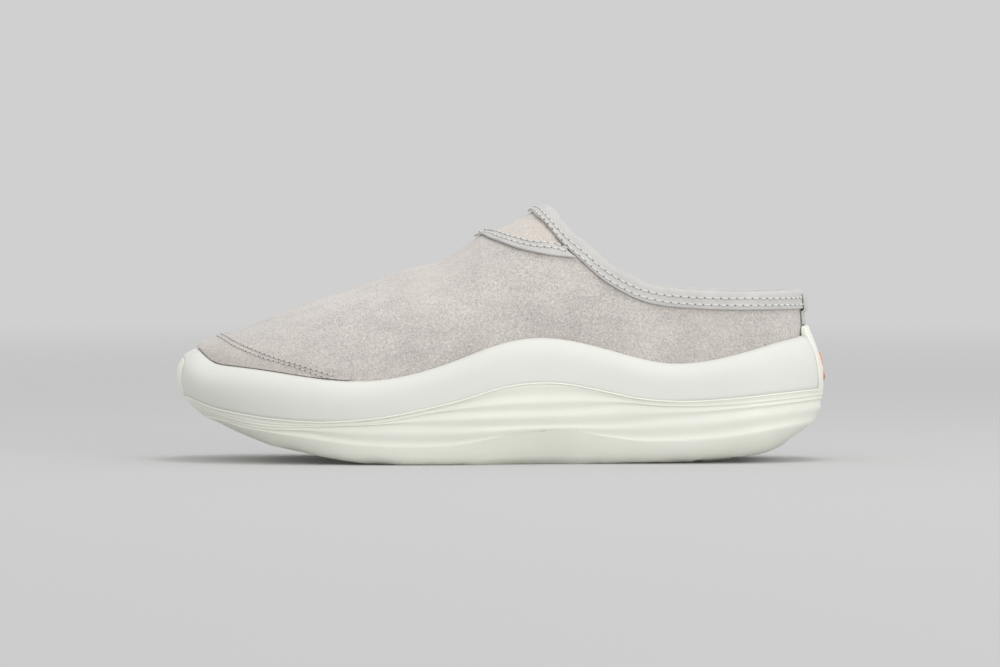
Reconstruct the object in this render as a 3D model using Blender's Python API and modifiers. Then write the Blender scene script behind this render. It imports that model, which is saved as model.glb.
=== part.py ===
"""A slip-on suede mule on a sculpted foam sole: one left shoe, toe towards -X, outer side -Y.

Every piece is worked out from the named sizes and the tables below. A table's first column is
the share of the length from toe to heel. The other columns are shares of the size it names.
"""
import itertools
import math

import bmesh
import bpy
import numpy as np
from mathutils import Matrix, Vector
from mathutils.bvhtree import BVHTree
from mathutils.kdtree import KDTree

LENGTH = 0.300
BALL_WIDTH = 0.1115
HEEL_WIDTH = 0.0865
SOLE_HEIGHT = 0.0572
INSTEP_HEIGHT = 0.117
COLLAR_HEIGHT = 0.0773
UPPER_WALL = 0.002
SHELL_WALL = 0.004
SHELL_FLOOR = 0.0045
RIB_DEPTH = 0.0009
GROOVE_DEPTH = 0.002
GROOVE_WIDTH = 0.004
GROOVE_MARGIN = 0.006
BUMPER_WIDTH = 0.026
BUMPER_TOP = 0.0475
SPINE_WIDTH = 0.030
SPINE_TOP = 0.0622
SPINE_WALL = 0.0024
SPINE_RIM_DROP = 0.002
CORNER_DROP = 0.003
INSOLE_THICKNESS = 0.004
OVERLAY_THICKNESS = 0.001
TAPE_WIDTH = 0.0055
BINDING_DEPTH = 0.0074
BINDING_THICKNESS = 0.0009
INNER_FLAP = 0.005
HEEL_TAPE_WIDTH = 0.019
BADGE_WIDTH = 0.009
BADGE_LOW = 0.037
BADGE_HIGH = 0.050
BADGE_THICKNESS = 0.001
TOE_STEP = 0.001
FIT_GAP = 0.00035
LAID_GAP = 0.0006
JUMP = 0.0005

CAP_FRONT = 0.076
CAP_END = 0.270
APEX_AT = 0.467
PEAK_AT = 0.567
SEAM_END = 0.640

# Half-widths of the sole from above, in shares of the width there: outer side, inner side.
SOLE_OUTLINE = (
    (0.00, 0.000, 0.000),
    (0.05, 0.269, 0.305),
    (0.10, 0.368, 0.395),
    (0.16, 0.439, 0.444),
    (0.24, 0.493, 0.475),
    (0.33, 0.520, 0.480),
    (0.42, 0.516, 0.435),
    (0.52, 0.491, 0.384),
    (0.62, 0.497, 0.394),
    (0.72, 0.522, 0.453),
    (0.82, 0.514, 0.480),
    (0.90, 0.462, 0.451),
    (0.96, 0.324, 0.324),
    (1.00, 0.000, 0.000),
)

# Lines along the sole's side, in shares of SOLE_HEIGHT:
# bottom edge, facet top, four ribs from the lowest up, parting line, rim of the cup.
SIDE_LINES = (
    (0.020, 0.463, 0.341, 0.385, 0.428, 0.472, 0.512, 0.551, 0.970),
    (0.040, 0.371, 0.343, 0.374, 0.406, 0.437, 0.469, 0.495, 0.885),
    (0.065, 0.308, 0.332, 0.357, 0.381, 0.402, 0.423, 0.442, 0.790),
    (0.100, 0.241, 0.283, 0.308, 0.332, 0.357, 0.379, 0.402, 0.764),
    (0.150, 0.152, 0.245, 0.269, 0.294, 0.318, 0.341, 0.365, 0.734),
    (0.200, 0.101, 0.196, 0.262, 0.294, 0.311, 0.327, 0.343, 0.696),
    (0.260, 0.038, 0.149, 0.215, 0.308, 0.320, 0.330, 0.341, 0.663),
    (0.320, 0.010, 0.119, 0.194, 0.318, 0.336, 0.351, 0.367, 0.671),
    (0.380, 0.003, 0.110, 0.191, 0.313, 0.395, 0.413, 0.430, 0.734),
    (0.440, 0.000, 0.140, 0.199, 0.311, 0.420, 0.483, 0.505, 0.839),
    (0.500, 0.000, 0.206, 0.238, 0.315, 0.432, 0.540, 0.603, 0.953),
    (0.560, 0.000, 0.247, 0.269, 0.320, 0.439, 0.554, 0.643, 1.000),
    (0.620, 0.005, 0.243, 0.267, 0.325, 0.448, 0.563, 0.615, 0.963),
    (0.680, 0.014, 0.178, 0.234, 0.332, 0.476, 0.516, 0.542, 0.881),
    (0.740, 0.024, 0.156, 0.233, 0.365, 0.460, 0.479, 0.497, 0.806),
    (0.800, 0.038, 0.163, 0.250, 0.388, 0.455, 0.477, 0.500, 0.806),
    (0.860, 0.059, 0.184, 0.288, 0.420, 0.469, 0.495, 0.521, 0.869),
    (0.920, 0.114, 0.241, 0.334, 0.451, 0.497, 0.524, 0.554, 0.956),
    (0.960, 0.210, 0.269, 0.364, 0.472, 0.514, 0.542, 0.570, 1.000),
    (1.000, 0.262, 0.288, 0.393, 0.486, 0.524, 0.554, 0.587, 1.023),
)

# How far the wall lies inside the outline at each of the levels, in shares of SOLE_HEIGHT.
# A level is a share of the height from bottom edge to rim. The last column is the cup's inside.
LEVELS = (0.0, 0.04, 0.13, 0.26, 0.42, 0.62, 0.80, 0.93, 1.0, 1.12)
SOLE_SECTIONS = (
    (0.00, 0.385, 0.318, 0.205, 0.115, 0.035, 0.002, 0.016, 0.073, 0.145, 0.210, 0.189),
    (0.06, 0.297, 0.236, 0.149, 0.080, 0.026, 0.002, 0.014, 0.059, 0.122, 0.184, 0.171),
    (0.15, 0.175, 0.131, 0.079, 0.042, 0.016, 0.000, 0.010, 0.042, 0.101, 0.157, 0.150),
    (0.30, 0.122, 0.091, 0.052, 0.026, 0.009, 0.000, 0.009, 0.035, 0.094, 0.150, 0.143),
    (0.45, 0.149, 0.122, 0.080, 0.038, 0.012, 0.000, 0.009, 0.035, 0.094, 0.150, 0.143),
    (0.56, 0.210, 0.182, 0.133, 0.052, 0.017, 0.000, 0.009, 0.035, 0.094, 0.150, 0.143),
    (0.70, 0.140, 0.105, 0.056, 0.026, 0.009, 0.000, 0.007, 0.031, 0.094, 0.150, 0.147),
    (0.88, 0.175, 0.129, 0.070, 0.030, 0.010, 0.000, 0.010, 0.038, 0.098, 0.154, 0.154),
    (1.00, 0.320, 0.241, 0.136, 0.042, 0.014, 0.000, 0.028, 0.079, 0.112, 0.138, 0.173),
)

# Height of the tread away from the edge, and of the footbed, in shares of SOLE_HEIGHT.
TREAD = (
    (0.07, 0.290), (0.15, 0.150), (0.25, 0.040), (0.31, 0.000), (0.45, 0.000), (0.54, 0.060),
    (0.63, 0.000), (0.80, 0.000), (0.90, 0.070), (0.94, 0.150),
)
FOOTBED = (
    (0.03, 0.551), (0.06, 0.490), (0.10, 0.437), (0.16, 0.402), (0.25, 0.393), (0.33, 0.420),
    (0.45, 0.481), (0.55, 0.542), (0.65, 0.594), (0.80, 0.638), (0.97, 0.673),
)
GROOVES_AT = (0.17, 0.23, 0.29, 0.35, 0.41, 0.68, 0.74, 0.80, 0.86)

# The ridge from the toe's rim, 0, to the instep's peak, 1.
CROWN = (
    (0.036, 0.000), (0.055, 0.040), (0.076, 0.080), (0.095, 0.110), (0.135, 0.188),
    (0.161, 0.239), (0.214, 0.327), (0.267, 0.406), (0.320, 0.499), (0.376, 0.580),
    (0.398, 0.600), (0.425, 0.660), (0.451, 0.734), (0.467, 0.790), (0.504, 0.860),
    (0.531, 0.921), (0.557, 0.986), (0.567, 1.000),
)
# The collar's edge from the heel's height, 0, to the instep's peak, 1.
TOPLINE = (
    (0.567, 1.000), (0.576, 0.977), (0.589, 0.874), (0.608, 0.693), (0.627, 0.582),
    (0.645, 0.471), (0.659, 0.370), (0.684, 0.247), (0.710, 0.131), (0.739, 0.065),
    (0.767, 0.033), (0.796, 0.018), (0.853, 0.000), (0.910, 0.000), (0.970, 0.010),
)
# The collar's half-width as a share of the upper's at the rim, and how far its edge leans
# forward in shares of LENGTH.
COLLAR = (
    (0.567, 0.00, 0.000), (0.576, 0.24, 0.000), (0.589, 0.42, 0.000), (0.608, 0.59, 0.000),
    (0.627, 0.68, 0.000), (0.645, 0.74, 0.000), (0.670, 0.80, 0.000), (0.720, 0.85, 0.000),
    (0.800, 0.88, 0.001), (0.900, 0.88, 0.003), (1.000, 0.88, 0.005),
)
# Back edge of the toe cap, from the ridge down to the rim: share of the height of the side.
CAP_EDGE = (
    (0.076, 1.00), (0.082, 0.93), (0.103, 0.66), (0.135, 0.40), (0.161, 0.27), (0.201, 0.17),
    (0.240, 0.10), (0.270, 0.05),
)
# Height of the seam between upper and instep panel, in shares of INSTEP_HEIGHT.
SEAM = (
    (0.467, 0.900), (0.482, 0.885), (0.497, 0.873), (0.512, 0.860), (0.527, 0.846),
    (0.541, 0.838), (0.556, 0.830), (0.571, 0.826), (0.600, 0.816), (0.640, 0.810),
)


def turn(along):
    """The angle that spaces the shares closely at toe and heel, where the outline is round."""
    return math.acos(1 - 2 * min(max(along, 0.0), 1.0))


def share(angle):
    return (1 - math.cos(angle)) / 2


def prepare(table):
    """Turns a table's first column into angles and finds the slopes of a smooth curve."""
    rows = np.array(table, float)
    at = np.array([turn(a) for a in rows[:, 0]])
    values = rows[:, 1:]
    step = np.diff(at)
    rise = np.diff(values, axis=0) / step[:, None]
    slope = np.vstack([rise[:1], np.zeros_like(rise[:-1]), rise[-1:]])
    before, after = step[:-1, None], step[1:, None]
    slope[1:-1] = (after * rise[:-1] + before * rise[1:]) / (before + after)
    return at, values, slope


CURVES = {}


def read(table, along):
    """The table's values at a share of the length, on a smooth curve through its rows."""
    key = id(table)
    if key not in CURVES:
        CURVES[key] = prepare(table)
    at, values, slope = CURVES[key]
    where = min(max(turn(along), at[0]), at[-1])
    i = min(int(np.searchsorted(at, where, side="right")) - 1, len(at) - 2)
    width = at[i + 1] - at[i]
    t = (where - at[i]) / width
    return (
        values[i] * (1 + 2 * t) * (1 - t) ** 2 + values[i + 1] * t * t * (3 - 2 * t)
        + width * (slope[i] * t * (1 - t) ** 2 - slope[i + 1] * t * t * (1 - t))
    )


def along_of(x):
    return x / LENGTH + 0.5


def ease(low, high, value):
    t = min(max((value - low) / (high - low), 0.0), 1.0)
    return t * t * (3 - 2 * t)


OUTER, INNER = -1, 1


def outline(angle, side):
    """A point of the sole's widest outline."""
    along = share(angle)
    width = BALL_WIDTH + (HEEL_WIDTH - BALL_WIDTH) * ease(0.45, 0.75, along)
    half = read(SOLE_OUTLINE, along)[0 if side == OUTER else 1] * width
    return Vector(((along - 0.5) * LENGTH, side * half))


def inside(angle, side, inset):
    """The outline's point moved inwards, square to the outline."""
    if angle < 1e-6:
        return Vector((-LENGTH / 2 + inset, 0.0))
    if angle > math.pi - 1e-6:
        return Vector((LENGTH / 2 - inset, 0.0))
    step = 0.004
    low, high = max(angle - step, 0.0), min(angle + step, math.pi)
    run = outline(high, side) - outline(low, side)
    normal = Vector((run.y, -run.x)).normalized() * side
    return outline(angle, side) + normal * inset


def sole_heights(angle, side):
    """Heights of bottom edge, facet, ribs, parting line and rim at one place of the outline."""
    section = read(SOLE_SECTIONS, share(angle)) * SOLE_HEIGHT
    lines = read(SIDE_LINES, along_of(inside(angle, side, section[3]).x)) * SOLE_HEIGHT
    lines[0] = read(SIDE_LINES, along_of(inside(angle, side, section[0]).x))[0] * SOLE_HEIGHT
    lines[7] = read(SIDE_LINES, along_of(inside(angle, side, section[10]).x))[7] * SOLE_HEIGHT
    lines[0] = max(lines[0], 0.0)
    return lines


def skin(angle, side, height, deeper=0.0):
    """A point of the sole's outer wall at a height, or one that lies deeper in it."""
    lines = sole_heights(angle, side)
    section = read(SOLE_SECTIONS, share(angle)) * SOLE_HEIGHT
    level = (height - lines[0]) / (lines[7] - lines[0])
    inset = np.interp(level, LEVELS, section[:10])
    flat = inside(angle, side, inset + deeper)
    return Vector((flat.x, flat.y, height))


def angle_of_width(side, half, at_heel):
    """Where the outline has a half-width, near the toe or the heel."""
    low, high = (math.pi, math.pi * 0.75) if at_heel else (0.0, math.pi * 0.25)
    for _ in range(40):
        middle = (low + high) / 2
        if abs(outline(middle, side).y) < half:
            low = middle
        else:
            high = middle
    return low


def stations(side, margin, toe_steps=3, side_steps=26, heel_steps=3):
    """Angles along one side, each with its place: toe bumper, side or heel spine."""
    bumper = angle_of_width(side, BUMPER_WIDTH / 2 + margin, False)
    bumper_off = angle_of_width(side, BUMPER_WIDTH / 2 + margin + JUMP, False)
    spine = angle_of_width(side, SPINE_WIDTH / 2 + margin, True)
    spine_off = angle_of_width(side, SPINE_WIDTH / 2 + margin + JUMP, True)
    toe = [(a, "bumper") for a in np.linspace(0, bumper, toe_steps + 1)]
    flank = [(a, "side") for a in np.linspace(bumper_off, spine_off, side_steps + 1)]
    heel = [(a, "spine") for a in np.linspace(spine, math.pi, heel_steps + 1)]
    return toe + flank + heel


def walk(margin):
    """All places round the sole: toe, outer side, heel, inner side."""
    outer = [(a, OUTER, place) for a, place in stations(OUTER, margin)]
    inner = [(a, INNER, place) for a, place in stations(INNER, margin)]
    return outer + inner[-2:0:-1]


def shell_edge(angle, side, place, margin):
    """Top edge of the outsole: the parting line, the toe bumper or the heel spine."""
    lines = sole_heights(angle, side)
    if place == "side":
        return lines[6]
    top, half = (BUMPER_TOP, BUMPER_WIDTH / 2) if place == "bumper" else (SPINE_TOP, SPINE_WIDTH / 2)
    across = min(abs(outline(angle, side).y) / (half + margin), 1.0)
    return top - CORNER_DROP * across ** 4


def shell_inside(angle, side, place, height, gap):
    """A point of the outsole's inner wall, which is thinner high up the heel spine."""
    if place != "spine":
        return skin(angle, side, height, SHELL_WALL + gap)
    thinner = ease(0.56 * SPINE_TOP, 0.8 * SPINE_TOP, height)
    wall = SHELL_WALL + (SPINE_WALL - SHELL_WALL) * thinner
    deep = skin(angle, side, height, wall)
    limit = cup_point(angle, side, height, 0.0)
    if abs(deep.x) < abs(limit.x):
        deep = limit
    return deep + (limit - skin(angle, side, height)).normalized() * gap


def new_object(name, bm, material, smooth=True, closed=True):
    """Makes a bmesh an object with its faces split the same way everywhere."""
    bmesh.ops.remove_doubles(bm, verts=bm.verts[:], dist=1e-6)
    bmesh.ops.triangulate(bm, faces=bm.faces[:], quad_method="FIXED")
    if closed:
        bmesh.ops.recalc_face_normals(bm, faces=bm.faces[:])
    mesh = bpy.data.meshes.new(name)
    bm.to_mesh(mesh)
    bm.free()
    if smooth:
        mesh.shade_smooth()
        mesh.set_sharp_from_angle(angle=math.radians(35))
    made = bpy.data.objects.new(name, mesh)
    mesh.materials.append(material)
    SHOE.objects.link(made)
    return made


def finish(name, colour, roughness):
    material = bpy.data.materials.new(name)
    material.use_nodes = True
    shader = material.node_tree.nodes["Principled BSDF"]
    shader.inputs["Base Color"].default_value = (*colour, 1)
    shader.inputs["Roughness"].default_value = roughness
    shader.inputs["Metallic"].default_value = 0.0
    return material


def skin_rows(bm, columns, closed, flip=False, turned=0):
    """Joins columns of vertices with faces; the first turned rows are split the other way."""
    pairs = list(zip(columns, columns[1:] + columns[:1])) if closed else list(zip(columns, columns[1:]))
    for one, two in pairs:
        for j in range(len(one) - 1):
            ring = [one[j], one[j + 1], two[j + 1], two[j]]
            ring = ring[1:] + ring[:1] if j < turned else ring
            ring = [v for k, v in enumerate(ring) if v is not ring[k - 1]]
            if len(ring) > 2:
                bm.faces.new([ring[0]] + ring[:0:-1] if flip else ring)


def close_across(bm, ring, height_at, parts, upwards):
    """Closes a ring from outer side to inner side with a floor of its own heights."""
    half = len(ring) // 2
    outer = ring[: half + 1]
    inner = [ring[0]] + ring[:half - 1:-1]
    rungs = []
    for left, right in zip(outer[1:-1], inner[1:-1]):
        rung = [left]
        for k in range(1, parts):
            point = left.co.lerp(right.co, k / parts)
            point.z = height_at(point.x)
            rung.append(bm.verts.new(point))
        rungs.append(rung + [right])
    rungs = [[outer[0]] * (parts + 1)] + rungs + [[outer[-1]] * (parts + 1)]
    skin_rows(bm, rungs, closed=False, flip=not upwards)


def table_height(table, size, lift=0.0):
    return lambda x: max(read(table, along_of(x))[0], 0.0) * size + lift


def make_grid(bm, points):
    return [[bm.verts.new(p) for p in column] for column in points]


def outsole_column(angle, side, place):
    """Bottom edge, facet, ribs with grooves between, and the edge, then down the inside."""
    bottom, facet, *ribs, _, _ = sole_heights(angle, side)
    edge = shell_edge(angle, side, place, 0.0)
    points = [skin(angle, side, bottom), skin(angle, side, facet)]
    last = facet
    for rib in ribs:
        depth = min(RIB_DEPTH, 0.25 * (rib - last))
        points.append(skin(angle, side, (last + rib) / 2))
        points.append(skin(angle, side, rib, max(depth, 0.0)))
        last = rib
    heights = wall_heights(angle, side, place, edge)
    points += [skin(angle, side, height) for height in heights]
    for height in (edge, heights[0], ribs[1]):
        points.append(shell_inside(angle, side, place, height, 0.0))
    points.append(cavity_floor(angle, side, 0.0))
    return points


def wall_heights(angle, side, place, edge):
    """Heights from the parting line up to the shell's edge, all one along the sides."""
    lines = sole_heights(angle, side)
    low = lines[6]
    if place == "side":
        return [edge] * 4
    high = low + 0.7 * (edge - low)
    if place == "spine":
        high = lines[7] - SPINE_RIM_DROP - 0.003
    return [low, (low + high) / 2, high, edge]


def cavity_floor(angle, side, gap):
    """Corner between the outsole's inner wall and its floor."""
    section = read(SOLE_SECTIONS, share(angle)) * SOLE_HEIGHT
    inset = max(section[0] - 0.5 * SHELL_WALL, section[2] + SHELL_WALL) + gap
    flat = inside(angle, side, inset)
    lift = SHELL_FLOOR + gap
    return Vector((flat.x, flat.y, table_height(SIDE_LINES, SOLE_HEIGHT, lift)(flat.x)))


def cup_point(angle, side, height, gap):
    """A point of the cup's inner wall, or of what stands inside it at a gap."""
    section = read(SOLE_SECTIONS, share(angle)) * SOLE_HEIGHT
    flat = inside(angle, side, section[10] + gap)
    return Vector((flat.x, flat.y, height))


def cup_floor(x):
    return read(FOOTBED, along_of(x))[0] * SOLE_HEIGHT


def midsole_column(angle, side, place):
    """Up inside the shell, out over its edge, up to the rim and down into the cup."""
    lines = sole_heights(angle, side)
    rim = lines[7]
    edge = shell_edge(angle, side, place, FIT_GAP)
    step = edge + 1.2 * FIT_GAP
    heights = wall_heights(angle, side, place, edge)
    heights = [step] * 4 if place == "side" else heights[:3] + [step]
    points = [cavity_floor(angle, side, FIT_GAP)]
    points += [shell_inside(angle, side, place, z, FIT_GAP) for z in (lines[3], heights[0])]
    if place == "spine":
        rim -= SPINE_RIM_DROP
        edge_point = shell_inside(angle, side, place, edge, FIT_GAP)
        low = points[-1]
        top = low.lerp(edge_point, (rim - 0.001 - low.z) / (edge_point.z - low.z))
        points += [top] * 5
    else:
        points.append(shell_inside(angle, side, place, step, FIT_GAP))
        points += [skin(angle, side, step + (rim - step) * part) for part in (0.0, 0.35, 0.7, 0.93)]
    outer_lip = points[-1]
    inner_lip = cup_point(angle, side, rim, 0.0)
    lip = outer_lip.lerp(inner_lip, 0.5)
    lip.z = rim
    points += [lip, inner_lip]
    foot = cup_point(angle, side, 0.0, 0.0)
    floor = cup_floor(foot.x)
    points.append(cup_point(angle, side, (rim + floor) / 2, 0.0))
    points.append(cup_point(angle, side, floor, 0.0))
    return points


def make_outsole():
    bm = bmesh.new()
    columns = make_grid(bm, [outsole_column(*place) for place in walk(0.0)])
    skin_rows(bm, columns, closed=True, flip=True)
    close_across(bm, [c[0] for c in columns], table_height(TREAD, SOLE_HEIGHT), 5, upwards=False)
    inner_floor = table_height(SIDE_LINES, SOLE_HEIGHT, SHELL_FLOOR)
    close_across(bm, [c[-1] for c in columns], inner_floor, 4, upwards=True)
    shell = new_object("outsole", bm, finish("cream rubber", (0.78, 0.78, 0.68), 0.45))
    for n, at in enumerate(GROOVES_AT):
        bpy.ops.mesh.primitive_cube_add(size=1)
        cutter = bpy.context.object
        cutter.name = f"groove_cutter_{n + 1}"
        level = read(TREAD, at)[0] * SOLE_HEIGHT
        inset = read(SOLE_SECTIONS, at)[0] * SOLE_HEIGHT + GROOVE_MARGIN
        outer, inner = (inside(turn(at), side, inset).y for side in (OUTER, INNER))
        cutter.scale = (GROOVE_WIDTH, inner - outer, 2 * GROOVE_DEPTH)
        cutter.location = ((at - 0.5) * LENGTH, (inner + outer) / 2, level)
        hide_cutter(cutter)
        cut(shell, cutter)
    cut(shell, badge_form("badge_cutter", FIT_GAP, None))
    return shell


def make_midsole():
    bm = bmesh.new()
    columns = make_grid(bm, [midsole_column(*place) for place in walk(FIT_GAP)])
    skin_rows(bm, columns, closed=True, flip=True, turned=3)
    under = table_height(SIDE_LINES, SOLE_HEIGHT, SHELL_FLOOR + FIT_GAP)
    close_across(bm, [c[0] for c in columns], under, 4, upwards=False)
    close_across(bm, [c[-1] for c in columns], cup_floor, 4, upwards=True)
    return new_object("midsole", bm, finish("white foam", (0.82, 0.83, 0.79), 0.6))


def make_insole():
    bm = bmesh.new()
    points = []
    for angle, side, _ in walk(0.0):
        foot = cup_point(angle, side, 0.0, UPPER_WALL + 3 * FIT_GAP)
        low = cup_floor(foot.x) + FIT_GAP
        rows = [low, low + INSOLE_THICKNESS]
        points.append([Vector((foot.x, foot.y, z)) for z in rows])
    columns = make_grid(bm, points)
    skin_rows(bm, columns, closed=True, flip=True)
    close_across(bm, [c[0] for c in columns], lambda x: cup_floor(x) + FIT_GAP, 3, upwards=False)
    top = lambda x: cup_floor(x) + FIT_GAP + 0.8 * INSOLE_THICKNESS
    close_across(bm, [c[-1] for c in columns], top, 3, upwards=True)
    return new_object("insole", bm, finish("beige lining", (0.62, 0.56, 0.49), 0.85))


def hide_cutter(cutter):
    cutter.hide_render = True
    cutter.display_type = "WIRE"
    for group in cutter.users_collection:
        group.objects.unlink(cutter)
    CUTTERS.objects.link(cutter)


def cut(body, cutter):
    change = body.modifiers.new(cutter.name, "BOOLEAN")
    change.operation = "DIFFERENCE"
    change.solver = "EXACT"
    change.object = cutter


def badge_form(name, grow, material):
    """A pill on the heel spine, flush with it, or the pocket that it lies in."""
    bm = bmesh.new()
    middle = (BADGE_LOW + BADGE_HIGH) / 2
    tall = (BADGE_HIGH - BADGE_LOW) / 2 + grow
    wide = BADGE_WIDTH / 2 + grow
    out = 0.002 if material is None else 0.0002
    deep = BADGE_THICKNESS + (grow if material is None else 0.0)
    rings = []
    for lift in (out, -deep):
        ring = []
        for k in range(20):
            a = 2 * math.pi * k / 20
            y = wide * math.cos(a)
            z = middle + (tall - wide) * (1 if math.sin(a) >= 0 else -1) + wide * math.sin(a)
            side = OUTER if y < 0 else INNER
            angle = angle_of_width(side, abs(y), True)
            ring.append(bm.verts.new(skin(angle, side, z, -lift)))
        rings.append(ring)
    for k in range(20):
        n = (k + 1) % 20
        bm.faces.new((rings[0][k], rings[1][k], rings[1][n], rings[0][n]))
    bm.faces.new(rings[0])
    bm.faces.new(rings[1][::-1])
    bmesh.ops.recalc_face_normals(bm, faces=bm.faces[:])
    made = new_object(name, bm, material or finish(name, (0.5, 0.5, 0.5), 0.5), smooth=False)
    if material is None:
        hide_cutter(made)
    return made


def make_middle(angle):
    """The x of the ridge between the two sides' points at one angle."""
    return (cup_point(angle, OUTER, 0, FIT_GAP).x + cup_point(angle, INNER, 0, FIT_GAP).x) / 2


def angle_at(along):
    """The angle whose ridge point lies at a share of the length."""
    low, high = 0.0, math.pi
    for _ in range(40):
        middle = (low + high) / 2
        if along_of(make_middle(middle)) < along:
            low = middle
        else:
            high = middle
    return (low + high) / 2


def upper_point(angle, side, rise):
    """The upper's outer face: rise 0 at the rim, 1 at the ridge or the collar's edge."""
    low = cup_point(angle, side, 0.0, FIT_GAP)
    low.z = sole_heights(angle, side)[7]
    middle = make_middle(angle)
    along = along_of(middle)
    if along <= PEAK_AT:
        toe_rim = sole_heights(0.0, OUTER)[7] + TOE_STEP
        height = toe_rim + (INSTEP_HEIGHT - toe_rim) * read(CROWN, along)[0]
        top, ratio = Vector((middle, 0.0, height)), 0.0
    else:
        ratio, lean = read(COLLAR, along)
        ratio = max(ratio, 0.0)
        height = COLLAR_HEIGHT + (INSTEP_HEIGHT - COLLAR_HEIGHT) * read(TOPLINE, along)[0]
        x = low.x * ratio + middle * (1 - ratio) - lean * LENGTH
        top = Vector((x, low.y * ratio, height))
    out = (math.sqrt(max(1 - rise * rise * (1 - ratio * ratio), 0.0)) - ratio) / (1 - ratio)
    return Vector((
        top.x + (low.x - top.x) * out,
        top.y + (low.y - top.y) * out,
        low.z + (top.z - low.z) * rise,
    ))


def seam_rise(angle, side, ahead=0.0, lift=0.0):
    """Rise of the seam under the instep panel, 1 where there is no panel."""
    along = along_of(make_middle(angle)) + ahead
    if along <= APEX_AT or along >= SEAM_END:
        return 1.0
    low, top = upper_point(angle, side, 0.0).z, upper_point(angle, side, 1.0).z
    height = read(SEAM, along)[0] * INSTEP_HEIGHT + lift
    return min(max((height - low) / (top - low), 0.2), 1.0)


def spread(low, high, count, towards_high=False, towards_low=False):
    """Angles between two, crowded towards one end where asked."""
    shares = np.linspace(0, 1, count + 1)
    if towards_high:
        shares = 1 - (1 - shares) ** 1.6
    if towards_low:
        shares = shares ** 1.6
    return [low + (high - low) * s for s in shares]


UPPER_ROWS = 10
APEX, PEAK, END = 0.0, 0.0, 0.0


def upper_angles():
    """Angles of the upper's columns, with one on the cap's front, the apex and the peak."""
    cap, end = angle_at(CAP_FRONT), angle_at(CAP_END)
    lists = [
        spread(0.0, cap, 6),
        spread(cap, end, 9, towards_low=True)[1:],
        spread(end, APEX, 6)[1:],
        spread(APEX, PEAK, 5, towards_low=True)[1:],
        spread(PEAK, END, 6, towards_low=True)[1:],
        spread(END, math.pi, 14, towards_low=True)[1:],
    ]
    return [a for part in lists for a in part]


def rises(low, high, count):
    """Rises between two, spaced evenly round the section's curve."""
    first, last = math.asin(low), math.asin(min(high, 1.0))
    return [math.sin(first + (last - first) * k / count) for k in range(count)] + [high]


def upper_column(angle, side):
    """From the cup's floor up the wall and over to the ridge, the seam or the collar."""
    foot = cup_point(angle, side, 0.0, FIT_GAP)
    foot.z = cup_floor(foot.x) + FIT_GAP
    top = seam_rise(angle, side)
    return [foot] + [upper_point(angle, side, r) for r in rises(0.0, top, UPPER_ROWS)]


def sheet(bm, angles, column):
    """Both sides of a piece, joined where they meet over the ridge or at the toe and heel."""
    for side in (OUTER, INNER):
        columns = make_grid(bm, [column(a, side) for a in angles])
        skin_rows(bm, columns, closed=False, flip=side == INNER)
    bmesh.ops.remove_doubles(bm, verts=bm.verts[:], dist=1e-5)
    bmesh.ops.recalc_face_normals(bm, faces=bm.faces[:])


def outwards(bm):
    """Turns an open sheet so that its faces look away from the foot."""
    bm.normal_update()
    heart = Vector((0.0, 0.0, 0.5 * SOLE_HEIGHT))
    votes = sum(f.normal.dot(f.calc_center_median() - heart) * f.calc_area() for f in bm.faces)
    if votes < 0:
        bmesh.ops.reverse_faces(bm, faces=bm.faces[:])


def lift_sheet(bm, distance):
    bm.normal_update()
    for vert, normal in [(v, v.normal.copy()) for v in bm.verts]:
        vert.co += normal * distance


def thicken(made, thickness, offset):
    wall = made.modifiers.new("wall", "SOLIDIFY")
    wall.thickness = thickness
    wall.offset = offset
    wall.use_even_offset = False


def make_upper():
    bm = bmesh.new()
    sheet(bm, upper_angles(), upper_column)
    outwards(bm)
    made = new_object("upper", bm, finish("suede", (0.52, 0.46, 0.40), 0.9), closed=False)
    thicken(made, UPPER_WALL, -1)
    return made


def make_panel():
    """The lighter panel in the upper's notch, a gap inside its seam."""
    ahead = -1.6 * FIT_GAP / LENGTH
    start = angle_at(APEX_AT - ahead)
    last = angle_at(SEAM_END - 0.012)
    angles = [start] + [a for a in upper_angles() if start + 0.005 < a < last - 0.005] + [last]

    def column(angle, side):
        low = seam_rise(angle, side, ahead, 1.3 * FIT_GAP)
        return [upper_point(angle, side, r) for r in rises(low, 1.0, 8)]

    bm = bmesh.new()
    sheet(bm, angles, column)
    outwards(bm)
    made = new_object("instep_panel", bm, finish("peach suede", (0.60, 0.49, 0.42), 0.9), closed=False)
    thicken(made, UPPER_WALL, -1)
    return made


def make_toe_cap():
    """The overlay round the toe, its lower edge just over the rim of the cup."""
    end = angle_at(CAP_END)
    angles = [a for a in upper_angles() if a < end + 1e-6]

    def column(angle, side):
        along = along_of(make_middle(angle))
        top = 1.0 if along <= CAP_FRONT + 1e-6 else read(CAP_EDGE, along)[0]
        tall = upper_point(angle, side, 1.0).z - upper_point(angle, side, 0.0).z
        low = min(2 * FIT_GAP / tall, 0.9 * top)
        return [upper_point(angle, side, r) for r in rises(low, top, UPPER_ROWS)]

    bm = bmesh.new()
    sheet(bm, angles, column)
    outwards(bm)
    lift_sheet(bm, FIT_GAP)
    made = new_object("toe_cap", bm, finish("suede overlay", (0.53, 0.47, 0.41), 0.9), closed=False)
    thicken(made, OVERLAY_THICKNESS, 1)
    return made


def outer_faces(*pieces):
    """The pieces' outer faces, to lay tapes on."""
    bm = bmesh.new()
    for piece in pieces:
        bm.from_mesh(piece.data)
    bm.normal_update()
    return bm


def collar_loop():
    """Points of the collar's edge: peak, outer side, heel, inner side."""
    angles = [PEAK] + [a for a in upper_angles() if a > PEAK + 1e-6]
    outer = [upper_point(a, OUTER, 1.0) for a in angles]
    inner = [upper_point(a, INNER, 1.0) for a in angles]
    return outer + inner[-2:0:-1]


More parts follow.
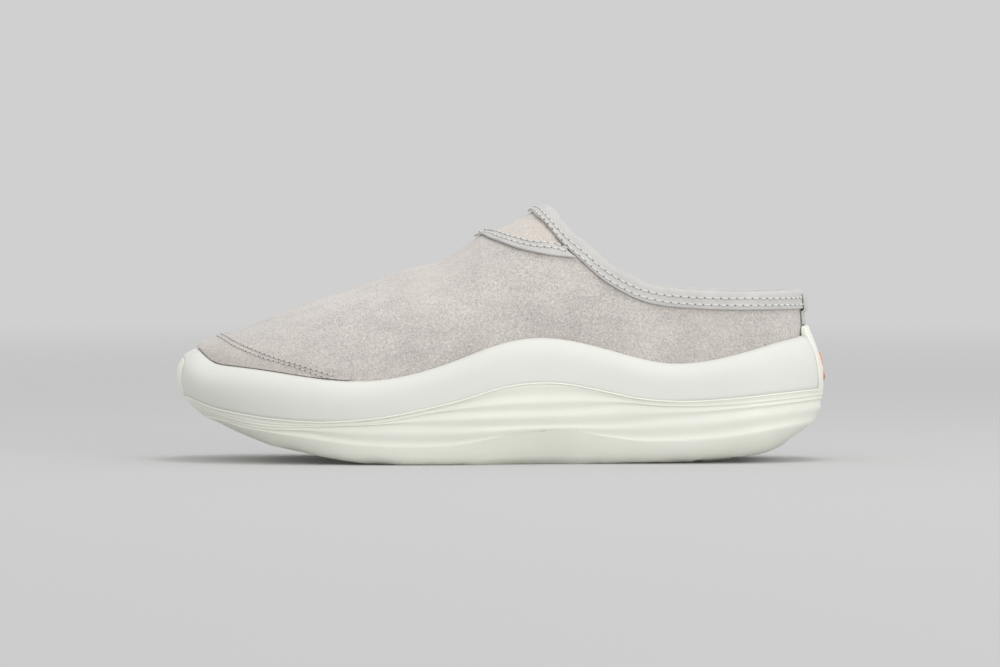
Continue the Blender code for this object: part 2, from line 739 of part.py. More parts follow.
def edge_normals(bm):
    """Finds the surface's normal at a point of its edge."""
    finder = KDTree(len(bm.verts))
    normals = []
    for n, vert in enumerate(bm.verts):
        finder.insert(vert.co, n)
        normals.append(vert.normal.copy())
    finder.balance()
    return lambda point: normals[finder.find(point)[1]]


def make_binding(tree, normal_at):
    """Folded tape over the collar's edge: down the outside, over, and down the inside."""
    loop = collar_loop()
    count = len(loop)
    centre = Vector((0.28 * LENGTH, 0.0, 0.0))
    columns = []
    for k, edge in enumerate(loop):
        tangent = (loop[(k + 1) % count] - loop[k - 1]).normalized()
        normal = normal_at(edge)
        if k == 0:
            normal.y = 0.0
            normal.normalize()
        down = normal.cross(tangent).normalized()
        away = edge - centre
        away.z = -0.5 * away.length
        if down.dot(away) < 0:
            down = -down

        def flat_on(depth):
            place, face_normal, *_ = tree.find_nearest(edge + down * depth)
            blend = (face_normal + normal).normalized()
            if k == 0:
                place.y, blend.y = 0.0, 0.0
            return place, blend

        outer, outer_face, inner, inner_face = [], [], [], []
        gap = LAID_GAP * (1.7 - 0.7 * ease(PEAK_AT, SEAM_END, along_of(edge.x)))
        for depth in (BINDING_DEPTH, 0.5 * BINDING_DEPTH):
            place, out = flat_on(depth)
            outer.append(place + out * gap)
            outer_face.append(place + out * (gap + BINDING_THICKNESS))
        place, out = flat_on(INNER_FLAP)
        inner.append(place - out * (UPPER_WALL + 1.5 * gap))
        inner_face.append(place - out * (UPPER_WALL + 1.5 * gap + BINDING_THICKNESS))
        over = edge - down * gap
        top = edge - down * (gap + BINDING_THICKNESS) - normal * 0.5 * UPPER_WALL
        section = outer_face + [edge + normal * (LAID_GAP + 0.8 * BINDING_THICKNESS), top]
        section += [edge - normal * (UPPER_WALL + LAID_GAP + 0.8 * BINDING_THICKNESS)]
        section += inner_face + inner
        section += [over - normal * (UPPER_WALL + LAID_GAP), over + normal * LAID_GAP]
        section += outer[::-1]
        columns.append(section + section[:1])
    bm = bmesh.new()
    grid = [[bm.verts.new(p) for p in column[:-1]] for column in columns]
    grid = [column + column[:1] for column in grid]
    skin_rows(bm, grid, closed=True)
    bmesh.ops.recalc_face_normals(bm, faces=bm.faces[:])
    return new_object("collar_binding", bm, finish("smooth tape", (0.66, 0.63, 0.58), 0.6))


def evenly(points, count):
    """Points spaced evenly along a broken line."""
    runs = [(b - a).length for a, b in zip(points, points[1:])]
    ends = np.concatenate([[0.0], np.cumsum(runs)])
    at = np.linspace(0, ends[-1], count + 1)
    return [Vector([np.interp(d, ends, [p[i] for p in points]) for i in range(3)]) for d in at]


def make_instep_tape(tree):
    """The flat tape over the panel's seam, over the ridge and back to the binding."""
    loop = collar_loop()
    clearance = BINDING_DEPTH + 3 * FIT_GAP

    def clear_of_collar(point):
        pairs = zip(loop, loop[1:])
        gaps = ((point - a.lerp(b, k / 8)).length for a, b in pairs for k in range(9))
        return min(gaps) > clearance

    def reach(row):
        return evenly(list(itertools.takewhile(clear_of_collar, evenly(row, 80))), 10)

    halves = []
    for side in (INNER, OUTER):
        notch = [upper_point(a, side, seam_rise(a, side)) for a in upper_angles() if APEX <= a < END]
        halves.append(evenly(notch, 16))
    line = halves[0][:0:-1] + halves[1]
    middle = len(line) // 2
    rows = [[], [], []]
    for k, here in enumerate(line):
        run = line[min(k + 1, len(line) - 1)] - line[max(k - 1, 0)]
        normal = tree.find_nearest(here)[1]
        if k == middle:
            normal.y = 0.0
        across = normal.cross(run).normalized()
        if across.x < 0 or (abs(across.x) < 0.3 and across.z < 0):
            across = -across
        for row, part in zip(rows, (-0.35, 0.15, 0.65)):
            row.append(here + across * part * TAPE_WIDTH)
    rows = [reach(row[middle::-1])[:0:-1] + reach(row[middle:]) for row in rows]
    points = [[tree.find_nearest(p)[0] for p in column] for column in zip(*rows)]
    bm = bmesh.new()
    skin_rows(bm, make_grid(bm, points), closed=False)
    outwards(bm)
    lift_sheet(bm, 1.3 * LAID_GAP)
    made = new_object("instep_tape", bm, finish("instep tape", (0.66, 0.63, 0.58), 0.6), closed=False)
    thicken(made, OVERLAY_THICKNESS, 1)
    return made


def make_heel_strip(tree):
    """The upright tape at the back, between the spine's tab and the collar's binding."""
    rim = sole_heights(math.pi, OUTER)[7]
    tall = COLLAR_HEIGHT - rim
    low = SPINE_TOP + 2 * FIT_GAP - rim
    high = tall - BINDING_DEPTH - 2 * LAID_GAP
    over = LAID_GAP + BINDING_THICKNESS + FIT_GAP
    rows = [(low, FIT_GAP), ((low + high) / 2, FIT_GAP), (high, FIT_GAP)]
    rows += [(high + OVERLAY_THICKNESS, over), (tall - 0.001, over)]
    reach = math.pi - angle_of_width(OUTER, HEEL_TAPE_WIDTH / 2 + 0.002, True)
    points = []
    for k in range(-2, 3):
        side = OUTER if k < 0 else INNER
        angle = math.pi - reach * abs(k) / 2
        column = []
        for height, lift in rows:
            place = upper_point(angle, side, height / tall)
            out = tree.find_nearest(place)[1]
            column.append(place + Vector((out.x, out.y, 0.0)).normalized() * lift)
        points.append(column)
    bm = bmesh.new()
    skin_rows(bm, make_grid(bm, points), closed=False)
    outwards(bm)
    made = new_object("heel_strip", bm, finish("heel tape", (0.66, 0.63, 0.58), 0.6), closed=False)
    thicken(made, OVERLAY_THICKNESS, 1)
    return made


def centre_over_origin():
    """Moves the whole shoe, with its cutters, so that the origin lies under its middle."""
    bpy.context.view_layer.update()
    view = bpy.context.evaluated_depsgraph_get()
    corners = [Vector(c) for made in SHOE.objects for c in made.evaluated_get(view).bound_box]
    low = Vector([min(c[i] for c in corners) for i in range(3)])
    high = Vector([max(c[i] for c in corners) for i in range(3)])
    move = Vector((-(low.x + high.x) / 2, -(low.y + high.y) / 2, -low.z))
    for made in SHOE.objects:
        made.data.transform(Matrix.Translation(move))
    for cutter in CUTTERS.objects:
        cutter.location += move


for old in list(bpy.data.objects):
    bpy.data.objects.remove(old, do_unlink=True)
SHOE = bpy.data.collections.new("sneaker_mule")
CUTTERS = bpy.data.collections.new("cutters")
bpy.context.scene.collection.children.link(SHOE)
bpy.context.scene.collection.children.link(CUTTERS)

APEX, PEAK, END = angle_at(APEX_AT), angle_at(PEAK_AT), angle_at(SEAM_END)
make_outsole()
make_midsole()
make_insole()
laid = outer_faces(make_upper(), make_panel())
make_toe_cap()
surface = BVHTree.FromBMesh(laid)
make_binding(surface, edge_normals(laid))
laid.free()
make_instep_tape(surface)
make_heel_strip(surface)
badge_form("heel_badge", 0.0, finish("coral rubber", (0.85, 0.22, 0.12), 0.5))
centre_over_origin()
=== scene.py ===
"""Looks of the sneaker mule: suede, tapes, stitching, foam cup and rubber shell."""
import math

import bmesh
import bpy
from mathutils import Matrix, Vector
from mathutils.bvhtree import BVHTree


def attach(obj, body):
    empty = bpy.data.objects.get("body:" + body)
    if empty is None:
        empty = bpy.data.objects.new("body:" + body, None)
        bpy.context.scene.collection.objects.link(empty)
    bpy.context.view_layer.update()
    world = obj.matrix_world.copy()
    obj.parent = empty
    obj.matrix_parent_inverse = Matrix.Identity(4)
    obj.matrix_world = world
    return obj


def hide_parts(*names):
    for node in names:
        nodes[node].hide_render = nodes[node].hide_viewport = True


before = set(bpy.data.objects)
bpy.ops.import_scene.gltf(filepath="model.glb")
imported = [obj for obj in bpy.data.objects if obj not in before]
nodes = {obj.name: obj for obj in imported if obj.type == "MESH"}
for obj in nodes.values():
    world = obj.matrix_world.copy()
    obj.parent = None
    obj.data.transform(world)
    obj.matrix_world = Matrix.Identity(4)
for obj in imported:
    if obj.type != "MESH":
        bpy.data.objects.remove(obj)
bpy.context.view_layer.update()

# Outsole: a thin shell of cream rubber, moulded in one with the toe bumper, the heel spine,
# the soft ribs along its side and the bars of its tread. It has a low sheen.


class Mask:
    """A shader value with the operators that the finishes use."""

    def __init__(self, finish, socket):
        self.finish, self.socket = finish, socket

    def joined(self, operation, other):
        return self.finish.node("ShaderNodeMath", {"operation": operation}, {0: self, 1: other})

    def __add__(self, other):
        return self.joined("ADD", other)

    def __mul__(self, other):
        return self.joined("MULTIPLY", other)

    __radd__, __rmul__ = __add__, __mul__


class Finish:
    """A material whose colour, roughness and bump are given as expressions."""

    def __init__(self, name, roughness=0.6, **constants):
        self.material = bpy.data.materials.new(name)
        self.material.use_nodes = True
        self.tree = self.material.node_tree
        self.shader = self.tree.nodes["Principled BSDF"]
        self.shader.inputs["Roughness"].default_value = roughness
        for socket, value in constants.items():
            self.shader.inputs[socket.replace("_", " ")].default_value = value
        self.place = self.node("ShaderNodeTexCoord", output="Object")

    def node(self, kind, settings=None, sockets=None, output=0):
        """One node: its settings first, then the values or links of its sockets."""
        made = self.tree.nodes.new(kind)
        for name, value in (settings or {}).items():
            if name == "stops":
                ramp = made.color_ramp
                while len(ramp.elements) < len(value):
                    ramp.elements.new(1.0)
                for stop, (at, shade) in zip(ramp.elements, value):
                    stop.position, stop.color = at, (*shade, 1)
            else:
                setattr(made, name, value)
        for name, value in (sockets or {}).items():
            if isinstance(value, Mask):
                self.tree.links.new(value.socket, made.inputs[name])
            else:
                made.inputs[name].default_value = value
        return Mask(self, made.outputs[output])

    def grain(self, size, detail=2.0, stretch=None):
        """Noise whose lumps have a size in metres, drawn out along an axis if asked."""
        place = self.place
        if stretch:
            place = self.node("ShaderNodeMapping", None, {"Vector": place, "Scale": stretch})
        sockets = {"Vector": place, "Scale": 1 / size, "Detail": detail}
        return self.node("ShaderNodeTexNoise", None, sockets, "Fac")

    def ramp(self, value, *stops):
        """A colour from stops, each a value and its colour."""
        return self.node("ShaderNodeValToRGB", {"stops": stops}, {"Fac": value}, "Color")

    def level(self, value, low, high):
        """0 below low and 1 above high."""
        sockets = {"Value": value, "From Min": low, "From Max": high}
        return self.node("ShaderNodeMapRange", None, sockets, "Result")

    def mix(self, one, two, share):
        """Colours mixed by a share."""
        sockets = {0: share, 6: one, 7: two}
        return self.node("ShaderNodeMix", {"data_type": "RGBA"}, sockets, 2)

    def give(self, colour, roughness=None, relief=()):
        """Links colour, roughness and bumps, each bump a pair of height and depth in metres."""
        self.tree.links.new(colour.socket, self.shader.inputs["Base Color"])
        if roughness:
            self.tree.links.new(roughness.socket, self.shader.inputs["Roughness"])
        normal = None
        for height, depth in relief:
            sockets = {"Height": height, "Distance": depth, "Strength": 1.0}
            if normal:
                sockets["Normal"] = normal
            normal = self.node("ShaderNodeBump", None, sockets, "Normal")
        if normal:
            self.tree.links.new(normal.socket, self.shader.inputs["Normal"])
        return self.material


def placed(name, data):
    """A new object in the scene."""
    made = bpy.data.objects.new(name, data)
    bpy.context.scene.collection.objects.link(made)
    return made


def built(name, bm, finish):
    """A new object from a bmesh, smooth and all of one material."""
    for face in bm.faces:
        face.smooth = True
        face.material_index = 0
    mesh = bpy.data.meshes.new(name)
    bm.to_mesh(mesh)
    bm.free()
    mesh.materials.append(finish)
    return placed(name, mesh)


def joins(piece):
    """Says that the piece rides on the shoe's one body."""
    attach(piece, "root")


MERGED_BELOW = 0.00002
FLAT_ENOUGH, SQUARE_ENOUGH = math.radians(25), math.radians(75)
LARGEST_NUDGE = 0.0015


def rounded(name, node, finish, crease=None, levels=2):
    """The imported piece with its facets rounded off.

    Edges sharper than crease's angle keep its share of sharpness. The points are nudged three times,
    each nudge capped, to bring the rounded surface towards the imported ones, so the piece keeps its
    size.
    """
    bm = bmesh.new()
    bm.from_mesh(nodes[node].data)
    bmesh.ops.remove_doubles(bm, verts=bm.verts[:], dist=MERGED_BELOW)
    bmesh.ops.join_triangles(
        bm, faces=bm.faces[:], angle_face_threshold=FLAT_ENOUGH, angle_shape_threshold=SQUARE_ENOUGH
    )
    sharp = bm.edges.layers.float.new("crease_edge")
    for edge in bm.edges:
        if crease and edge.calc_face_angle(0.0) > math.radians(crease[0]):
            edge[sharp] = crease[1]
        edge.smooth = True
    piece = built(name, bm, finish)
    mesh = piece.data
    rounding = piece.modifiers.new("rounding", "SUBSURF")
    rounding.levels = rounding.render_levels = levels
    packed = [vert.co.copy() for vert in mesh.vertices]
    for _ in range(3):
        view = bpy.context.evaluated_depsgraph_get()
        shrunk = piece.evaluated_get(view).data
        for vert, true, now in zip(mesh.vertices, packed, shrunk.vertices):
            missing = true - now.co
            vert.co += missing * min(1.0, LARGEST_NUDGE / max(missing.length, 1e-9))
        mesh.update()
    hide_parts(node)
    joins(piece)
    return piece


def applied(piece):
    """Makes the piece's rounding part of its mesh."""
    view = bpy.context.evaluated_depsgraph_get()
    mesh = bpy.data.meshes.new_from_object(piece.evaluated_get(view))
    piece.modifiers.clear()
    piece.data = mesh
    return piece


rubber = Finish("cream_rubber", Specular_IOR_Level=0.45)
haze = rubber.grain(0.030, 3.0)
pores = rubber.grain(0.0006, 2.0)
cream = rubber.ramp(haze, (0.30, (0.805, 0.813, 0.722)), (0.70, (0.845, 0.848, 0.766)))
rubber.give(cream, 0.38 + 0.10 * haze, [(pores, 0.00003)])
shell = applied(rounded("rubber_shell", "outsole", rubber.material, crease=(60, 0.7)))
for vert in shell.data.vertices:  # the bars of the tread stand flat on the floor
    vert.co.z = max(vert.co.z, 0.0)

# Midsole: the white foam cup that holds the foot. It is moulded, with a matte skin that
# shows very fine pores, and it is glued into the rubber shell.

foam = Finish("white_foam", Specular_IOR_Level=0.35)
haze = foam.grain(0.045, 2.0)
pores = foam.grain(0.0005, 2.0)
scuffs = foam.level(foam.grain(0.012, 4.0, stretch=(0.4, 1.0, 1.6)), 0.66, 0.80)
white = foam.ramp(haze, (0.30, (0.70, 0.708, 0.658)), (0.70, (0.73, 0.736, 0.69)))
foam.give(foam.mix(white, (0.74, 0.75, 0.69, 1), 0.5 * scuffs), 0.55 + 0.1 * haze, [(pores, 0.00004)])
cup = rounded("foam_cup", "midsole", foam.material, crease=(60, 0.6))

# Parting bead: a fine pale line of rubber flash that the mould leaves along both sides, where
# the foam cup meets the rim of the shell.


def surface_of(*pieces):
    """The finished pieces' surfaces, to find points on."""
    view = bpy.context.evaluated_depsgraph_get()
    corners, faces = [], []
    for piece in pieces:
        mesh = piece.evaluated_get(view).data
        faces += [[len(corners) + v for v in face.vertices] for face in mesh.polygons]
        corners += [v.co.copy() for v in mesh.vertices]
    return BVHTree.FromPolygons(corners, faces)


def eased(line, turns, surface=None):
    """A line of (point, outward normal) pairs with its small jogs smoothed out on its surface."""
    spots = [spot for spot, _ in line]
    for _ in range(turns):
        inner = [(a + 2 * b + c) / 4 for a, b, c in zip(spots, spots[1:], spots[2:])]
        spots = spots[:1] + inner + spots[-1:]
    return [surface.find_nearest(spot)[:2] if surface else (spot, None) for spot in spots]


MIDDLE_Y = 0.002
RAYS, SEARCHED_FROM, SEARCH_STEP, SEARCH_STEPS = 600, 0.043, 0.00015, 220
OUTSIDE, LAST_HITS, CLOSED_GAP, LONGEST_JUMP, FEWEST_POINTS = 0.3, 5, 0.0002, 0.005, 8
BEAD_RADIUS, BEAD_RISE = 0.00042, 0.00015
foam_wall, rubber_wall = surface_of(cup), surface_of(shell)
rims = [[]]
for turn in range(RAYS):
    angle = math.radians(360 / RAYS * turn)
    away = Vector((math.cos(angle), math.sin(angle), 0.0))
    lips = [1.0]
    for step in range(SEARCH_STEPS):
        start = Vector((0.0, MIDDLE_Y, SEARCHED_FROM - SEARCH_STEP * step)) + away * OUTSIDE
        foam_hit, rubber_hit = foam_wall.ray_cast(start, -away), rubber_wall.ray_cast(start, -away)
        if rubber_hit[0] and (foam_hit[0] is None or rubber_hit[3] < foam_hit[3] + CLOSED_GAP):
            if step:
                rim = start - away * min(lips[-LAST_HITS:] + [rubber_hit[3]])
                if rims[-1] and (rim - rims[-1][-1][0]).length > LONGEST_JUMP:
                    rims.append([])
                rims[-1].append((rim, None))
            break
        lips.append(foam_hit[3] or 1.0)
trace = bpy.data.curves.new("parting_bead", "CURVE")
trace.dimensions, trace.bevel_depth, trace.bevel_resolution = "3D", BEAD_RADIUS, 2
for rim in rims:
    if len(rim) > FEWEST_POINTS:
        line = eased(rim, 4)
        strand = trace.splines.new("POLY")
        strand.points.add(len(line) - 1)
        for point, (spot, _) in zip(strand.points, line):
            point.co = (*(spot + Vector((0, 0, BEAD_RISE))), 1)
trace.materials.append(rubber.material)
joins(placed("parting_bead", trace))

# Insole: a thin footbed of foam under beige fabric, laid loose in the cup.

footbed = Finish("footbed_fabric", Sheen_Weight=0.2)
place = footbed.node("ShaderNodeMapping", None, {"Vector": footbed.place, "Rotation": (0, 0, 0.8)})
weave = footbed.node(
    "ShaderNodeTexWave", {"wave_type": "BANDS", "bands_direction": "DIAGONAL"},
    {"Vector": place, "Scale": 420.0, "Distortion": 1.5, "Detail": 1.0}, "Fac",
)
wear = footbed.grain(0.035, 3.0)
beige = footbed.ramp(wear, (0.30, (0.50, 0.455, 0.40)), (0.70, (0.57, 0.52, 0.465)))
footbed.give(beige, 0.85 + 0.1 * weave, [(weave, 0.00012)])
bed = rounded("footbed", "insole", footbed.material, crease=(60, 0.8), levels=1)

# Upper: suede with a short brushed nap, cut in one with the sides and lasted over the cup.
# It creases softly across the vamp where the toes bend, and is lined with smooth pigskin.


def suede(name, dark, light, blush):
    """Brushed suede: a fine speckled nap, cloudy patches, a blush, and a sheen at its edges."""
    made = Finish(name, Sheen_Weight=0.35, Sheen_Roughness=0.55, Specular_IOR_Level=0.15)
    nap = made.grain(0.00062, 3.0)
    speckle = made.grain(0.0012, 3.0)
    brushed = made.grain(0.006, 3.0, stretch=(0.45, 1.0, 1.0))
    cloud = made.grain(0.038, 2.0)
    pink = made.level(made.grain(0.055, 2.0, stretch=(1.0, 1.0, 1.3)), 0.48, 0.68)
    tone = 0.50 * nap + 0.22 * speckle + 0.12 * brushed + 0.16 * cloud
    shade = made.ramp(tone, (0.38, dark), (0.62, light))
    colour = made.mix(shade, (*blush, 1), 0.35 * pink)
    return made.give(colour, 0.88 + 0.08 * nap, [(speckle, 0.00016), (nap, 0.00012)])


ROOM_HEIGHT, CLEAR_OF_SKIN = 0.040, 0.0003


def lined(piece, lining):
    """Gives the faces that look across the room of the foot the lining's material."""
    room = surface_of(piece, cup, bed)
    piece.data.materials.append(lining)
    for face in piece.data.polygons:
        inwards = Vector((0.0, MIDDLE_Y, ROOM_HEIGHT)) - Vector((0.0, face.center.y, face.center.z))
        start = face.center + face.normal * CLEAR_OF_SKIN
        if face.normal.dot(inwards) > 0 and room.ray_cast(start, face.normal)[0]:
            face.material_index = 1
    return piece


CREASES_POINT_TO = 0.045


def creased(piece, creases):
    """Soft troughs, each with its ends, its half-width and its depth in metres."""
    for vert in piece.data.vertices:
        here = vert.co
        for start, end, half, depth in creases:
            run = Vector(end) - Vector(start)
            along = min(max((here - Vector(start)).dot(run) / run.length_squared, 0.0), 1.0)
            nearest = Vector(start) + run * along
            fade = math.sin(math.pi * (0.1 + 0.8 * along))
            trough = math.exp(-((here - nearest).length / half) ** 2) * fade
            inwards = Vector((0.0, -here.y, CREASES_POINT_TO - here.z)).normalized()
            here += inwards * depth * trough


lining = Finish("lining", Sheen_Weight=0.1)
hide = lining.grain(0.0015, 3.0)
lining.give(
    lining.ramp(lining.grain(0.030, 2.0), (0.3, (0.56, 0.52, 0.47)), (0.7, (0.62, 0.58, 0.53))),
    0.62 + 0.12 * hide, [(hide, 0.00005)],
)
sides_suede = suede("beige_suede", (0.385, 0.36, 0.338), (0.70, 0.655, 0.612), (0.61, 0.55, 0.515))
vamp = lined(applied(rounded("vamp_and_sides", "upper", sides_suede)), lining.material)
# start, end, half-width and depth of each crease on the outer side
TOE_BREAKS = (
    ((-0.055, -0.036, 0.056), (-0.044, -0.012, 0.082), 0.0065, 0.0008),
    ((-0.032, -0.036, 0.060), (-0.022, -0.010, 0.090), 0.0075, 0.0009),
    ((-0.010, -0.034, 0.066), (-0.014, -0.012, 0.094), 0.0060, 0.0007),
    ((0.050, -0.034, 0.060), (0.072, -0.034, 0.066), 0.0070, 0.0006),
)
inner_breaks = tuple(
    ((a[0], 2 * MIDDLE_Y - a[1], a[2]), (b[0], 2 * MIDDLE_Y - b[1], b[2]), half, depth)
    for a, b, half, depth in TOE_BREAKS
)
creased(vamp, TOE_BREAKS + inner_breaks)

# Toe cap: a second layer of the same suede round the toe. Its back edge is turned under
# and sewn down with two rows of thread.

toe_suede = suede("toe_suede", (0.41, 0.38, 0.355), (0.69, 0.645, 0.60), (0.63, 0.565, 0.525))
cap = rounded("toe_cap_suede", "toe_cap", toe_suede, crease=(50, 0.35))

# Instep panel: softer, peachier suede over the elastic of the instep, set in the notch of
# the upper and lined like it.

peach_suede = suede("peach_suede", (0.465, 0.43, 0.395), (0.70, 0.655, 0.60), (0.665, 0.59, 0.525))
panel = applied(rounded("instep_suede", "instep_panel", peach_suede, crease=(50, 0.6)))
lined(panel, lining.material)

# Tapes: smooth light grey bindings, folded and pressed. One goes over the collar's edge, one
# over the instep panel's seam and one up the back.


def tape(name, dark, light):
    """Smooth woven tape, a little patchy where it was pressed."""
    made = Finish(name, Specular_IOR_Level=0.3, Sheen_Weight=0.15)
    threads = made.grain(0.0006, 2.0, stretch=(1.0, 1.0, 2.5))
    patches = made.grain(0.010, 3.0)
    grey = made.ramp(0.5 * threads + 0.5 * patches, (0.35, dark), (0.65, light))
    return made.give(grey, 0.55 + 0.2 * patches, [(threads, 0.00006)])


smooth_tape = tape("light_tape", (0.50, 0.492, 0.475), (0.585, 0.575, 0.56))
binding = rounded("collar_tape", "collar_binding", smooth_tape, crease=(75, 0.3))
seam_tape = rounded("instep_seam_tape", "instep_tape", smooth_tape, crease=(60, 0.5))
rounded("back_tape", "heel_strip", smooth_tape, crease=(60, 0.5))

# Stitching: rows of pale thread, each stitch pulled into the leather between two needle holes,
# whose shade is painted dark brown. Two rows run along the collar, the instep tape and the toe cap.


FAN_STEP, FAN_FROM, FAN_TO = 0.0005, 10, 260
ABOVE, DOWN = Vector((0, 0, OUTSIDE)), Vector((0, 0, -1))


def fan(tree, hub, first, last, count):
    """Spans of a piece seen from above, along rays that leave a hub at even angles."""
    spans = []
    for k in range(count + 1):
        angle = math.radians(first + (last - first) * k / count)
        away = Vector((math.cos(angle), math.sin(angle), 0.0))
        hits = []
        for step in range(FAN_FROM, FAN_TO):
            drop = tree.ray_cast(Vector(hub) + away * step * FAN_STEP + ABOVE, DOWN)
            if drop[0]:
                hits.append((drop[0], drop[1]))
        if hits:
            spans.append((away, hits))
    return spans


def even(line, pitch):
    """Places at an even pitch along a line, each a point, its outward normal and its run."""
    places, carried = [], 0.0
    for (a, out), (b, next_out) in zip(line, line[1:]):
        run = (b - a).length
        while carried <= run and run > 0:
            share = carried / run
            outwards = out.lerp(next_out, share).normalized()
            places.append((a.lerp(b, share), outwards, (b - a).normalized()))
            carried += pitch
        carried -= run
    return places


THREAD_THICKNESS, THREAD_RISE, STITCH_SHARE = 0.0008, 0.0002, 0.72
HOLE_WIDTH, HOLE_DEPTH = 0.0009, 0.00022


def add_stitch(bm, place, out, run, long):
    """One stitch: a short thread that is thickest in the middle and dips at both ends."""
    made = bmesh.ops.create_uvsphere(bm, u_segments=8, v_segments=6, radius=0.5)["verts"]
    across = out.cross(run).normalized()
    turned = Matrix((run, across, out)).transposed()
    for vert in made:
        slim = vert.co.xy * THREAD_THICKNESS
        vert.co = turned @ Vector((vert.co.z * long, *slim)) + place + out * THREAD_RISE


def add_hole(bm, place, out):
    """A needle hole: a small dimple flush with the leather, coloured dark brown as painted shade."""
    made = bmesh.ops.create_cone(
        bm, cap_ends=True, segments=8, radius1=HOLE_WIDTH / 2, radius2=HOLE_WIDTH / 3, depth=HOLE_DEPTH
    )["verts"]
    turned = out.to_track_quat("Z", "Y").to_matrix()
    for vert in made:
        vert.co = place + turned @ vert.co


def spun(name, dark, light):
    """Spun thread, with a fine ply."""
    made = Finish(name, Sheen_Weight=0.2)
    ply = made.grain(0.0004, 1.0)
    return made.give(made.ramp(ply, (0.3, dark), (0.7, light)), 0.7 + 0.1 * ply, [(ply, 0.00004)])


pale_thread = spun("pale_thread", (0.66, 0.65, 0.63), (0.76, 0.75, 0.73))
beige_thread = spun("beige_thread", (0.50, 0.47, 0.44), (0.60, 0.57, 0.54))
# Needle holes are painted shade: small dark brown cones stand for the shade inside each hole.
hole_shade_finish = Finish("needle_holes")
gloom = hole_shade_finish.grain(0.0005, 1.0)
hole_shade_colour = hole_shade_finish.ramp(gloom, (0.3, (0.13, 0.115, 0.105)), (0.7, (0.22, 0.20, 0.185)))
hole_shade_finish.give(hole_shade_colour, 0.8 + 0.1 * gloom)


def sew(name, rows, pitch, thread):
    """Sews rows of stitches, with a needle hole of painted shade between each two."""
    for part, finish in (("thread", thread), ("holes", hole_shade_finish.material)):
        bm = bmesh.new()
        for row in rows:
            for place, out, run in even(row, pitch):
                if part == "thread":
                    add_stitch(bm, place, out, run, STITCH_SHARE * pitch)
                else:
                    add_hole(bm, place + run * 0.5 * pitch, out)
        joins(built(name + "_" + part, bm, finish))


CAP_HUB, CAP_ROWS_IN, CAP_PITCH = (-0.062, 0.0022, 0.0), (0.0016, 0.0038), 0.0027
OFF_THE_CAP, CUP_RIM = 0.01, 0.039
cap_face = surface_of(cap)
cap_rows = [[], []]
for away, hits in fan(cap_face, CAP_HUB, first=98, last=262, count=120):
    edge, out = hits[0][0], hits[min(3, len(hits) - 1)][1]
    for row, back in zip(cap_rows, CAP_ROWS_IN):
        spot = edge + (away - out * away.dot(out)).normalized() * back
        spot, out_here, *_ = cap_face.ray_cast(spot + out * OFF_THE_CAP, -out)
        if spot and spot.z > CUP_RIM:
            row.append((spot, out_here))
cap_rows = [eased(row, 4, cap_face) for row in cap_rows]
sew("toe_cap", cap_rows, CAP_PITCH, beige_thread)

TAPE_HUB, TAPE_ROWS_ACROSS, TAPE_PITCH = (0.035, 0.0022, 0.0), (0.27, 0.70), 0.0033
tape_face = surface_of(seam_tape)
tape_rows = [[], []]
for _, hits in fan(tape_face, TAPE_HUB, first=100, last=260, count=100):
    for row, share in zip(tape_rows, TAPE_ROWS_ACROSS):
        row.append(hits[int(share * (len(hits) - 1))])
tape_rows = [eased(row, 14, tape_face) for row in tape_rows]
sew("instep_tape", tape_rows, TAPE_PITCH, pale_thread)

COLLAR_HUB, COLLAR_ROWS_DOWN, COLLAR_PITCH = (0.068, 0.0022, 0.0), (0.50, 0.80), 0.0037
BESIDE, WALK_STEP, WALK_STEPS, TAPE_ENDS = 0.2, 0.0001, 120, 0.004
binding_face = surface_of(binding)
collar_rows = [[], []]
for away, hits in fan(binding_face, COLLAR_HUB, first=0, last=360, count=240):
    edge = max((spot for spot, _ in hits), key=lambda spot: spot.z)
    walked, last, down = 0.0, edge, []
    for step in range(1, WALK_STEPS):
        start = Vector((*COLLAR_HUB[:2], edge.z - WALK_STEP * step)) + away * BESIDE
        spot, out, *_ = binding_face.ray_cast(start, -away)
        if spot is None or (spot - last).length > TAPE_ENDS:
            break
        walked, last = walked + (spot - last).length, spot
        down.append((walked, spot, out))
    for row, share in zip(collar_rows, COLLAR_ROWS_DOWN):
        row += [(spot, out) for at, spot, out in down if at >= share * walked][:1]
collar_rows = [eased(row, 5, binding_face) for row in collar_rows]
sew("collar", collar_rows, COLLAR_PITCH, pale_thread)

# Heel inlay: a plain pill of coral rubber, moulded apart and glued into a shallow bed in the
# back of the rubber spine.

coral = Finish("coral_rubber", Specular_IOR_Level=0.4)
bloom = coral.grain(0.004, 2.0)
red = coral.ramp(bloom, (0.3, (0.70, 0.24, 0.16)), (0.7, (0.77, 0.30, 0.21)))
coral.give(red, 0.45 + 0.1 * bloom)
rounded("heel_inlay", "heel_badge", coral.material, crease=(50, 0.9))

# Studio: a pale sweep that carries the shoe and rises far behind it, under soft light, with
# a level camera far off the outer side.

FLOOR_REACH, BEND_STEPS, BEND_STEP, WALL_HEIGHT = 9.0, 10, 0.6, 6


def drawn_out(bm, edges, ahead):
    """Extrudes edges by a step and gives the new ones."""
    grown = bmesh.ops.extrude_edge_only(bm, edges=edges)["geom"]
    verts = [part for part in grown if isinstance(part, bmesh.types.BMVert)]
    bmesh.ops.translate(bm, verts=verts, vec=ahead)
    return [part for part in grown if isinstance(part, bmesh.types.BMEdge)]


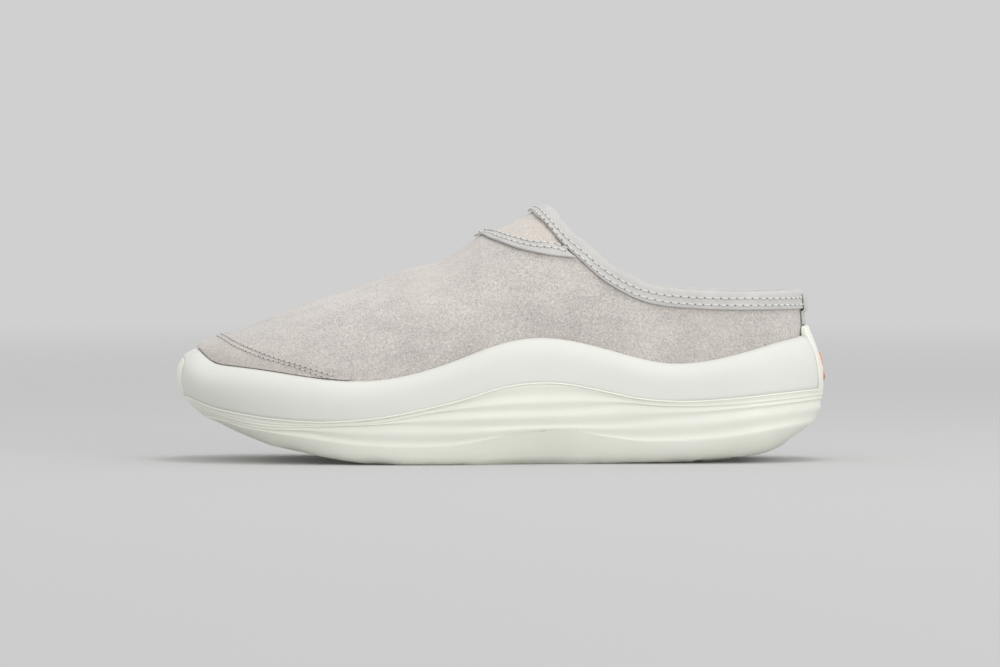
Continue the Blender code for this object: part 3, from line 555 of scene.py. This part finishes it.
bm = bmesh.new()
bmesh.ops.create_grid(bm, x_segments=1, y_segments=1, size=FLOOR_REACH)
back = [edge for edge in bm.edges if all(vert.co.y > 0 for vert in edge.verts)]
for turn in range(BEND_STEPS):
    climb = math.radians(90 / BEND_STEPS * (turn + 0.5))
    back = drawn_out(bm, back, Vector((0.0, math.cos(climb), math.sin(climb))) * BEND_STEP)
drawn_out(bm, back, Vector((0, 0, WALL_HEIGHT)))
bmesh.ops.recalc_face_normals(bm, faces=bm.faces[:])
PAPER_NEAR, PAPER_GLOW, BACKDROP_GLOW = (0.53,) * 3, (0.02,) * 3, (0.631,) * 3
paper = Finish("pale_paper", roughness=1.0, Specular_IOR_Level=0.0, Emission_Strength=1.0)
reach = paper.node("ShaderNodeVectorMath", {"operation": "LENGTH"}, {0: paper.place}, "Value")
distance = paper.level(reach, 0.6, 2.6)
paper.give(paper.ramp(distance, (0.0, PAPER_NEAR), (1.0, (0.0,) * 3)))
glow = paper.ramp(distance, (0.0, PAPER_GLOW), (1.0, BACKDROP_GLOW))
paper.tree.links.new(glow.socket, paper.shader.inputs["Emission Color"])
built("sweep", bm, paper.material)

world = bpy.data.worlds.new("soft_light")
world.use_nodes = True
sky = world.node_tree.nodes["Background"]
sky.inputs["Color"].default_value = (1.0, 1.0, 1.0, 1)
sky.inputs["Strength"].default_value = 0.90
bpy.context.scene.world = world
bpy.context.scene.view_settings.view_transform = "Standard"

for name, spot, size, power in (
    ("top_light", (0.2, -0.2, 1.4), 0.5, 4.5),
    ("front_light", (1.4, -1.9, 0.45), 1.0, 15.0),
):
    lamp = bpy.data.lights.new(name, "AREA")
    lamp.size, lamp.energy = size, power
    light = placed(name, lamp)
    light.location = spot
    light.rotation_euler = (Vector((0, 0, 0.04)) - Vector(spot)).to_track_quat("-Z", "Y").to_euler()

PICTURE_WIDTH, MM_PER_PIXEL, LENS, SENSOR_WIDTH, ELEVATION = 1000, 0.4622, 200.0, 36, 1.5
aim = Vector((-0.0004, 0.0, 0.0585))
far = PICTURE_WIDTH * MM_PER_PIXEL / 1000 * LENS / SENSOR_WIDTH
camera = placed("camera", bpy.data.cameras.new("camera"))
camera.data.lens = LENS
rise = math.radians(ELEVATION)
camera.location = aim + Vector((0.0, -math.cos(rise), math.sin(rise))) * far
camera.rotation_euler = (aim - camera.location).to_track_quat("-Z", "Y").to_euler()
bpy.context.scene.camera = camera
